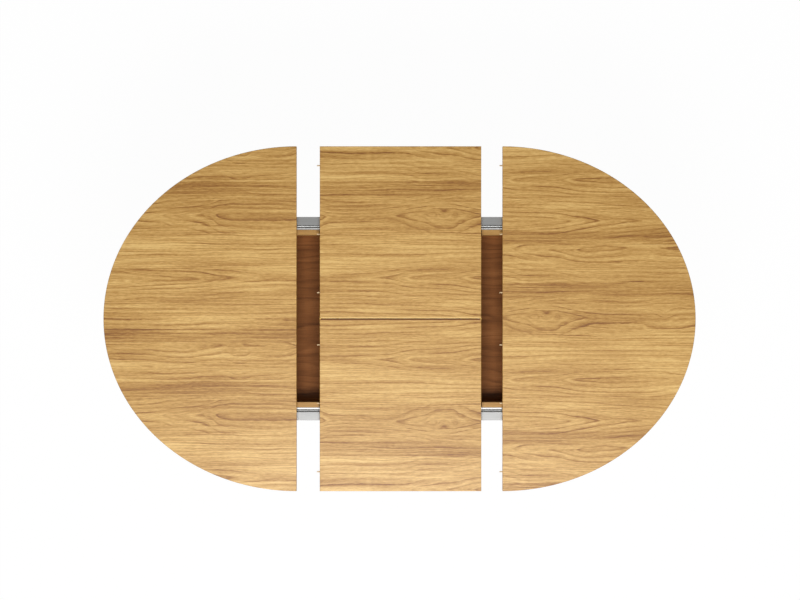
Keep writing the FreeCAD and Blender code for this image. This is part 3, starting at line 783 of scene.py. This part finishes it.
class Finishes:
    """Every finish of the table, each built once."""

    def __init__(self) -> None:
        """Builds the materials."""
        self.veneer_left = Veneer("veneer_left", Layout.LEFT_TOP).material()
        self.veneer_leaf = Veneer("veneer_leaf", Layout.LEAF, seam=True).material()
        self.veneer_right = Veneer("veneer_right", Layout.RIGHT_TOP).material()
        self.rail = SolidWood("rail_wood", Axis.ALONG_X, FRAME_TONES, (0.0, 0.45)).material()
        self.end_rail = SolidWood("end_rail_wood", Axis.ALONG_Y, FRAME_TONES, (0.0, 0.40)).material()
        self.block = SolidWood("block_wood", Axis.ALONG_Z, FRAME_TONES, (0.0, 0.0), 320.0).material()
        self.leg = SolidWood("leg_wood", Axis.ALONG_Z, LEG_TONES, (0.10, 0.02), 230.0).material()
        self.tray = SolidWood(
            "tray_veneer", Axis.ALONG_X, TRAY_TONES, (0.0, 0.30), 120.0, 0.50, 0.08).material()
        self.runner = ExtrudedMetal("runner_aluminium", paint(144, 144, 143)).material()
        # the slide rails get painted shade in their front groove and a painted highlight on their lips
        self.slide = ExtrudedMetal("slide_aluminium", paint(144, 144, 143), paints_groove_and_lip=True).material()
        self.steel = PlatedMetal("zinc_steel", paint(176, 178, 182), paint(146, 149, 154)).material()
        self.bright_steel = PlatedMetal(
            "bright_steel", paint(196, 197, 200), paint(168, 170, 174), 0.24).material()
        self.brass = PlatedMetal(
            "satin_brass", paint(206, 170, 98), paint(172, 134, 70), 0.30).material()
        self.nylon = Moulded("white_nylon", paint(232, 230, 223), paint(220, 217, 208), 0.38).material()
        self.pin = Moulded("guide_pin_plastic", paint(236, 208, 164), paint(222, 190, 146)).material()
        self.glide = Moulded(
            "glide_plastic", paint(48, 45, 42), paint(36, 34, 32), 0.5, 900.0).material()
        self.felt = Felt("pad_felt", paint(98, 80, 62), paint(132, 110, 88)).material()


# ---- mesh helpers ----


def finished(
    bm: bmesh.types.BMesh,
    name: str,
    material: bpy.types.Material,
    smooth_angle: float = 35.0,
) -> bpy.types.Object:
    """Turns a bmesh into an object of the scene.

    Args:
        bm: The shape, with its place in its vertices. It is freed.
        name: The object's name.
        material: Its finish.
        smooth_angle: Edges sharper than this stay sharp, in degrees.

    Returns:
        The object.
    """
    bmesh.ops.recalc_face_normals(bm, faces=bm.faces)
    limit = math.radians(smooth_angle)
    for face in bm.faces:
        face.smooth = True
    for edge in bm.edges:
        edge.smooth = edge.is_manifold and edge.calc_face_angle(0.0) < limit
    mesh = bpy.data.meshes.new(name)
    bm.to_mesh(mesh)
    bm.free()
    mesh.materials.append(material)
    made = bpy.data.objects.new(name, mesh)
    bpy.context.scene.collection.objects.link(made)
    return made


def turned(outline: Iterable[Pair], steps: int, merge: float) -> bmesh.types.BMesh:
    """Turns an outline about the z axis.

    Args:
        outline: Its points as (radius, depth below the origin).
        steps: How many sides the shape has.
        merge: Points nearer to each other than this become one.

    Returns:
        The shape.
    """
    part = bmesh.new()
    verts = [part.verts.new((radius, 0.0, -depth)) for radius, depth in outline]
    edges = [part.edges.new(pair) for pair in zip(verts, verts[1:])]
    bmesh.ops.spin(part, geom=verts + edges, cent=(0, 0, 0), axis=(0, 0, 1), dvec=(0, 0, 0),
                   angle=math.tau, steps=steps, use_merge=True)
    bmesh.ops.remove_doubles(part, verts=part.verts, dist=merge)
    return part


def pour(part: bmesh.types.BMesh, whole: bmesh.types.BMesh) -> None:
    """Adds a part to a whole and frees the part."""
    bmesh.ops.recalc_face_normals(part, faces=part.faces)
    mesh = bpy.data.meshes.new("part")
    part.to_mesh(mesh)
    part.free()
    whole.from_mesh(mesh)
    bpy.data.meshes.remove(mesh)


def stood(obj: bpy.types.Object, body: str, slot: str, *nodes: str) -> bpy.types.Object:
    """Hands a new piece over: it rides on a body and stands for nodes."""
    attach(obj, body)
    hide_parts(*nodes)
    faces = len(obj.data.polygons)
    log.info("%s on %s: %d faces, stands for %s", obj.name, body, faces, ", ".join(nodes))
    return obj


@dataclass(frozen=True)
class Seat:
    """Where one fastener sits: the middle of its head's face, the way it points, and its measures."""

    head: Vector
    direction: Vector
    length: float
    head_radius: float
    shank_radius: float


def seats_of(node: bpy.types.Object) -> list[Seat]:
    """Finds where the fasteners of a node sit.

    Args:
        node: A node whose solids are all fasteners along x, y or z.

    Returns:
        One seat for each solid.
    """
    bm = bmesh.new()
    bm.from_mesh(node.data)
    bmesh.ops.remove_doubles(bm, verts=bm.verts, dist=1e-6)
    waiting = set(bm.verts)
    seats = []
    while waiting:
        todo = [waiting.pop()]
        solid = []
        while todo:
            vert = todo.pop()
            solid.append(vert.co.copy())
            for edge in vert.link_edges:
                other = edge.other_vert(vert)
                if other in waiting:
                    waiting.remove(other)
                    todo.append(other)
        seats.append(seat_of(solid))
    bm.free()
    return sorted(seats, key=lambda s: tuple(round(c, 4) for c in s.head))


def seat_of(points: Sequence[Vector]) -> Seat:
    """Works out one fastener's seat from the points of its solid.

    Args:
        points: The solid's vertices.

    Returns:
        Its seat. The head is the end with the wider ring of points.
    """
    low = Vector([min(p[i] for p in points) for i in range(3)])
    high = Vector([max(p[i] for p in points) for i in range(3)])
    size = high - low
    axis = max(range(3), key=lambda i: size[i])
    middle = (low + high) / 2

    def radius_at(level: float) -> float:
        """The widest point at one level along the axis."""
        ring = [p for p in points if abs(p[axis] - level) < 1e-5]
        return max(((p - middle).length_squared - (p[axis] - middle[axis]) ** 2) ** 0.5 for p in ring)

    at_low, at_high = radius_at(low[axis]), radius_at(high[axis])
    head = middle.copy()
    direction = Vector((0, 0, 0))
    head[axis] = low[axis] if at_low > at_high else high[axis]
    direction[axis] = 1.0 if at_low > at_high else -1.0
    return Seat(head, direction, size[axis], max(at_low, at_high), min(at_low, at_high))


# ---- fasteners ----


class Drive(Enum):
    """The recess in a fastener's head."""

    CROSS = "cross"
    HEXAGON = "hexagon"


@dataclass(frozen=True)
class Fasteners:
    """All the screws or bolts of one node, with threads turned as rings and a recess in each head."""

    node: str
    body: str
    slot: str = "steel"
    drive: Drive = Drive.CROSS
    segments: int = 20
    recess_share: float = 0.62    # its reach, of the head's radius
    recess_depth: float = 0.0011
    recess_taper: float = 0.78    # its width at its floor, of that at its top
    arm_share: float = 0.26       # half the width of a cross's arm, of its reach
    thread_pitch: float = 0.0016
    thread_depth: float = 0.00035
    spin_step: float = 37.0       # radians per vertex built before, so that no two point the same way
    tip: float = 0.0022

    def outline(self, reach: float) -> list[Pair]:
        """The recess's outline round the origin, for an outer reach."""
        if self.drive is Drive.HEXAGON:
            turns = [math.radians(60 * n) for n in range(6)]
            return [(reach * math.cos(t), reach * math.sin(t)) for t in turns]
        arm = reach * self.arm_share
        quarter = [(reach, -arm), (reach, arm), (arm, arm)]
        spun = []
        for turn in range(4):
            c, s = round(math.cos(turn * math.pi / 2)), round(math.sin(turn * math.pi / 2))
            spun += [(c * a - s * b, s * a + c * b) for a, b in quarter]
        return spun

    def profile(self, seat: Seat) -> list[Pair]:
        """Half the fastener's outline from its head's rim to its tip, as (radius, depth)."""
        head, shank, length = seat.head_radius, seat.shank_radius, seat.length
        if self.drive is Drive.HEXAGON:
            cap = min(length * 0.2, 0.006)
            points = [(head - 0.0004, 0.0), (head, 0.0004), (head, cap), (shank, cap)]
        else:
            cap = min(head - shank, length * 0.3) + 0.0002
            points = [(head, 0.0), (head, 0.0002), (shank, cap)]
        depth = cap + 0.002
        while depth < length - 0.0028:
            points += [(shank, depth), (shank - self.thread_depth, depth + self.thread_pitch / 2)]
            depth += self.thread_pitch
        return points + [(shank * 0.85, length - self.tip), (shank * 0.12, length)]

    def add(self, bm: bmesh.types.BMesh, seat: Seat) -> None:
        """Adds one fastener at its seat."""
        part = turned(self.profile(seat), self.segments, 1e-7)
        open_edges = [e for e in part.edges if e.is_boundary]
        tip = [e for e in open_edges if e.verts[0].co.z < -seat.length / 2]
        rim = [e for e in open_edges if e.verts[0].co.z > -seat.length / 2]
        bmesh.ops.contextual_create(part, geom=tip)
        reach = rim[0].verts[0].co.xy.length * self.recess_share
        ring = [part.verts.new((a, b, 0.0)) for a, b in self.outline(reach)]
        recess = [part.edges.new(pair) for pair in zip(ring, ring[1:] + ring[:1])]
        bmesh.ops.triangle_fill(part, use_beauty=True, use_dissolve=False, edges=rim + recess)
        inside = [f for f in part.faces if all(v in ring for v in f.verts)]
        bmesh.ops.delete(part, geom=inside, context="FACES_ONLY")
        walls = bmesh.ops.extrude_edge_only(part, edges=recess)["geom"]
        bottom = [g for g in walls if isinstance(g, bmesh.types.BMVert)]
        bmesh.ops.scale(part, vec=(self.recess_taper, self.recess_taper, 1.0), verts=bottom)
        bmesh.ops.translate(part, vec=(0, 0, -self.recess_depth), verts=bottom)
        rest = [g for g in walls if isinstance(g, bmesh.types.BMEdge)]
        floor = [e for e in rest if all(v in bottom for v in e.verts)]
        bmesh.ops.triangle_fill(part, use_beauty=True, use_dissolve=False, edges=floor)
        turn = (-seat.direction).to_track_quat("Z", "Y").to_matrix().to_4x4()
        spin = Matrix.Rotation(self.spin_step * len(bm.verts), 4, "Z")
        bmesh.ops.transform(part, matrix=Matrix.Translation(seat.head) @ turn @ spin, verts=part.verts)
        pour(part, bm)

    def build(self, frame: Mapping[str, Any], material: bpy.types.Material) -> bpy.types.Object:
        """Builds the set and hands it over.

        Args:
            frame: The loaded frame.
            material: The finish.

        Returns:
            The piece that stands for the node.
        """
        bm = bmesh.new()
        for seat in seats_of(frame["nodes"][self.node]):
            self.add(bm, seat)
        return stood(finished(bm, self.node + "_modelled", material), self.body, self.slot, self.node)


# ---- the table's sub-assemblies ----


class SubAssembly:
    """Nodes of the frame that are dressed together."""

    def __init__(self, frame: Mapping[str, Any], finishes: Finishes) -> None:
        """Keeps the frame and the finishes."""
        self.frame = frame
        self.finishes = finishes

    def dress(self, material: bpy.types.Material, *nodes: str) -> None:
        """Gives nodes of the frame their finish.

        Args:
            material: The finish.
            nodes: The nodes' names.
        """
        for name in nodes:
            slots = self.frame["nodes"][name].material_slots
            if not slots:
                self.frame["nodes"][name].data.materials.append(material)
            for slot in slots:
                slot.material = material
            log.info("%s dressed in %s", name, material.name)


class Tops(SubAssembly):
    """The two sliding halves of the top with their runners."""

    def build(self) -> None:
        """Dresses both halves and models their screws."""
        self.dress(self.finishes.veneer_left, "top_left")
        self.dress(self.finishes.veneer_right, "top_right")
        self.dress(self.finishes.pin, "top_pins_right")
        for end in ("left", "right"):
            self.dress(self.finishes.runner, "runner_front_" + end, "runner_back_" + end)
            self.dress(self.finishes.nylon, "glide_blocks_" + end)
            Fasteners("runner_screws_" + end, end + "_top").build(self.frame, self.finishes.steel)


@dataclass(frozen=True)
class PadShape:
    """The soft outline of a felt pad, as shares of its radius and height, from its face to its back."""

    shares: tuple[Pair, ...] = (
        (0.0, 1.0), (0.35, 0.995), (0.70, 0.975), (0.88, 0.90), (0.97, 0.72), (1.0, 0.45), (0.985, 0.15),
        (0.96, 0.0), (0.0, 0.0))
    segments: int = 56
    fuzz: float = 0.00012


class Leaf(SubAssembly):
    """The two hinged halves of the leaf, with their pads, pins and hinges."""

    pad_shape = PadShape()

    def pads(self, side: str) -> None:
        """Models the felt pads of one half.

        Args:
            side: front or back.
        """
        node = "leaf_pads_" + side
        low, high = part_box(node)
        radius, height = (high.y - low.y) / 2, high.z - low.z
        bm = bmesh.new()
        for x in (low.x + radius, high.x - radius):
            reach = radius - self.pad_shape.fuzz
            outline = [(r * reach, h * height) for r, h in self.pad_shape.shares]
            part = turned(outline, self.pad_shape.segments, 1e-6)
            bmesh.ops.subdivide_edges(part, edges=part.edges, cuts=1, use_grid_fill=True)
            for vert in part.verts:
                if -height * 0.97 < vert.co.z < -height * 0.05:
                    swell = noise.noise(vert.co * 900.0 + Vector((x * 50, 0, 0))) * self.pad_shape.fuzz
                    vert.co.xy *= 1.0 + swell / radius
            bmesh.ops.translate(part, vec=(x, (low.y + high.y) / 2, high.z), verts=part.verts)
            pour(part, bm)
        pads = finished(bm, "felt_" + node, self.finishes.felt, 60.0)
        stood(pads, side + "_leaf", "felt", node)

    def build(self) -> None:
        """Dresses the leaf and models its pads and screws."""
        for side in ("front", "back"):
            body = side + "_leaf"
            self.dress(self.finishes.veneer_leaf, "leaf_" + side)
            self.dress(self.finishes.pin, "leaf_pins_" + side)
            self.dress(self.finishes.brass, "hinge_plates_" + side)
            self.pads(side)
            Fasteners("hinge_screws_" + side, body, "brass").build(self.frame, self.finishes.brass)
        self.dress(self.finishes.brass, "hinge_pins")


class SwingFitting(SubAssembly):
    """The arms, shafts and brackets that swing the leaf down into the tray."""

    def build(self) -> None:
        """Dresses the fitting and models its screws."""
        self.dress(self.finishes.steel, "floor_brackets", "leaf_brackets")
        self.dress(self.finishes.steel, "swing_arms_front", "swing_arms_back")
        self.dress(self.finishes.bright_steel, "swing_shaft_front", "swing_shaft_back", "tip_pins")
        Fasteners("floor_bracket_screws", "frame").build(self.frame, self.finishes.steel)
        Fasteners("leaf_bracket_screws", "front_leaf").build(self.frame, self.finishes.steel)


class Base(SubAssembly):
    """The frame under the top: rails, tray, slide rails and legs."""

    def build(self) -> None:
        """Dresses the base and models its screws and bolts."""
        self.dress(self.finishes.rail, "side_rail_front", "side_rail_back")
        self.dress(self.finishes.end_rail, "end_rail_left", "end_rail_right")
        self.dress(self.finishes.block, "corner_blocks")
        self.dress(self.finishes.tray, "tray_floor")
        self.dress(self.finishes.slide, "slide_rail_front", "slide_rail_back")
        self.dress(self.finishes.steel, "slide_stops", "leg_plates", "leg_studs")
        self.dress(self.finishes.glide, "foot_glides")
        for side in ("front", "back"):
            self.dress(self.finishes.leg, "leg_" + side + "_left", "leg_" + side + "_right")
        Fasteners("slide_screws", "frame").build(self.frame, self.finishes.steel)
        Fasteners("leg_plate_screws", "frame").build(self.frame, self.finishes.steel)
        Fasteners("frame_bolts", "frame", drive=Drive.HEXAGON, recess_depth=0.0022).build(
            self.frame, self.finishes.bright_steel)


# ---- studio ----


@dataclass(frozen=True)
class Lamp:
    """A soft rectangular lamp that shines at a point, or a card that only shows in reflections."""

    name: str
    place: tuple[float, float, float]
    aim: tuple[float, float, float]
    size: Pair
    power: float
    gloss_only: bool = False

    def build(self) -> None:
        """Adds the lamp to the scene."""
        data = bpy.data.lights.new(self.name, "AREA")
        data.shape = "RECTANGLE"
        data.size, data.size_y = self.size
        data.energy = self.power
        lamp = bpy.data.objects.new(self.name, data)
        lamp.location = self.place
        aim = Vector(self.aim) - lamp.location
        lamp.rotation_euler = aim.to_track_quat("-Z", "Y").to_euler()
        lamp.visible_camera = False
        lamp.visible_diffuse = not self.gloss_only
        bpy.context.scene.collection.objects.link(lamp)


@dataclass(frozen=True)
class Studio:
    """White floor, soft light and the camera straight above the table."""

    camera_place: tuple[float, float, float] = (-0.0016, 0.0579, 7.76)
    lens: float = 101.74
    floor_size: float = 120.0
    floor_level: float = -0.0003
    floor_white: float = 0.95
    floor_glow: float = 1.022    # makes up for what the shaded share of the floor lacks
    fill: float = 0.25
    ceiling: float = 0.06    # how white the ceiling is in reflections
    lamps: tuple[Lamp, ...] = field(default=(
        Lamp("softbox", (0.0, -2.0, 4.20), (0.0, 0.0, 0.76), (2.4, 1.3), 122.0),
        Lamp("gloss_card", (0.0, -1.15, 4.70), (0.0, -1.15, 0.0), (2.4, 0.8), 44.0, gloss_only=True),
    ))

    @staticmethod
    def seen(graph: Graph, mirrored: Any = 1.0) -> Value:
        """Tells what is looked at from what lights the table.

        Args:
            graph: The nodes it is for.
            mirrored: How much of the white shows in reflections.

        Returns:
            1 for what the camera or a clear body sees, mirrored for a reflection, and 0 for light.
        """
        rays = graph.node("LightPath").outputs
        kinds = ("Camera", "Transmission", "Glossy")
        camera, clear, glossy = (Value(graph, rays[f"Is {kind} Ray"]) for kind in kinds)
        return (camera + clear + glossy * mirrored).clamped()

    def floor(self) -> None:
        """Lays the floor."""
        bm = bmesh.new()
        bmesh.ops.create_grid(bm, x_segments=1, y_segments=1, size=self.floor_size / 2)
        bmesh.ops.translate(bm, vec=(0, 0, self.floor_level), verts=bm.verts)
        graph = Graph.of_finish("studio_floor")
        grey = graph.node("BsdfDiffuse", sockets={"Color": (0.82, 0.82, 0.82, 1.0)})
        white = graph.node("Emission", sockets={"Color": WHITE, "Strength": self.floor_glow})
        share = self.seen(graph) * self.floor_white
        mixed = graph.node("MixShader", sockets={0: share, 1: grey.outputs[0], 2: white.outputs[0]})
        graph.node("OutputMaterial", sockets={"Surface": mixed.outputs[0]})
        finished(bm, "studio_floor", graph.owner)

    def world(self) -> None:
        """Makes the sky: a soft fill that looks white, with a dim ceiling in reflections."""
        world = bpy.data.worlds.new("studio")
        graph = Graph(world)
        fill = graph.node("Background", sockets={"Color": WHITE, "Strength": self.fill})
        white = graph.node("Background", sockets={"Color": WHITE, "Strength": 1.0})
        share = self.seen(graph, graph.direction()[2].smooth(0.20, 0.75, 1.0, self.ceiling))
        mixed = graph.node("MixShader", sockets={0: share, 1: fill.outputs[0], 2: white.outputs[0]})
        graph.node("OutputWorld", sockets={"Surface": mixed.outputs[0]})
        bpy.context.scene.world = world

    def camera(self) -> None:
        """Places the camera, looking straight down with the table's back at the top."""
        data = bpy.data.cameras.new("camera")
        data.lens = self.lens
        data.sensor_width = 36.0
        data.clip_end = 200.0
        camera = bpy.data.objects.new("camera", data)
        camera.location = self.camera_place
        bpy.context.scene.collection.objects.link(camera)
        bpy.context.scene.camera = camera

    def build(self) -> None:
        """Builds the studio."""
        self.floor()
        self.world()
        self.camera()
        for lamp in self.lamps:
            lamp.build()
        bpy.context.scene.view_settings.view_transform = "Standard"


def main() -> None:
    """Builds the table's looks around its frame."""
    logging.basicConfig(level=logging.INFO, format="%(name)s: %(message)s")
    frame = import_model()
    finishes = Finishes()
    for assembly in (Base, SwingFitting, Tops, Leaf):
        log.info("building %s", assembly.__name__)
        assembly(frame, finishes).build()
    Studio().build()


if __name__ == "__main__":
    main()
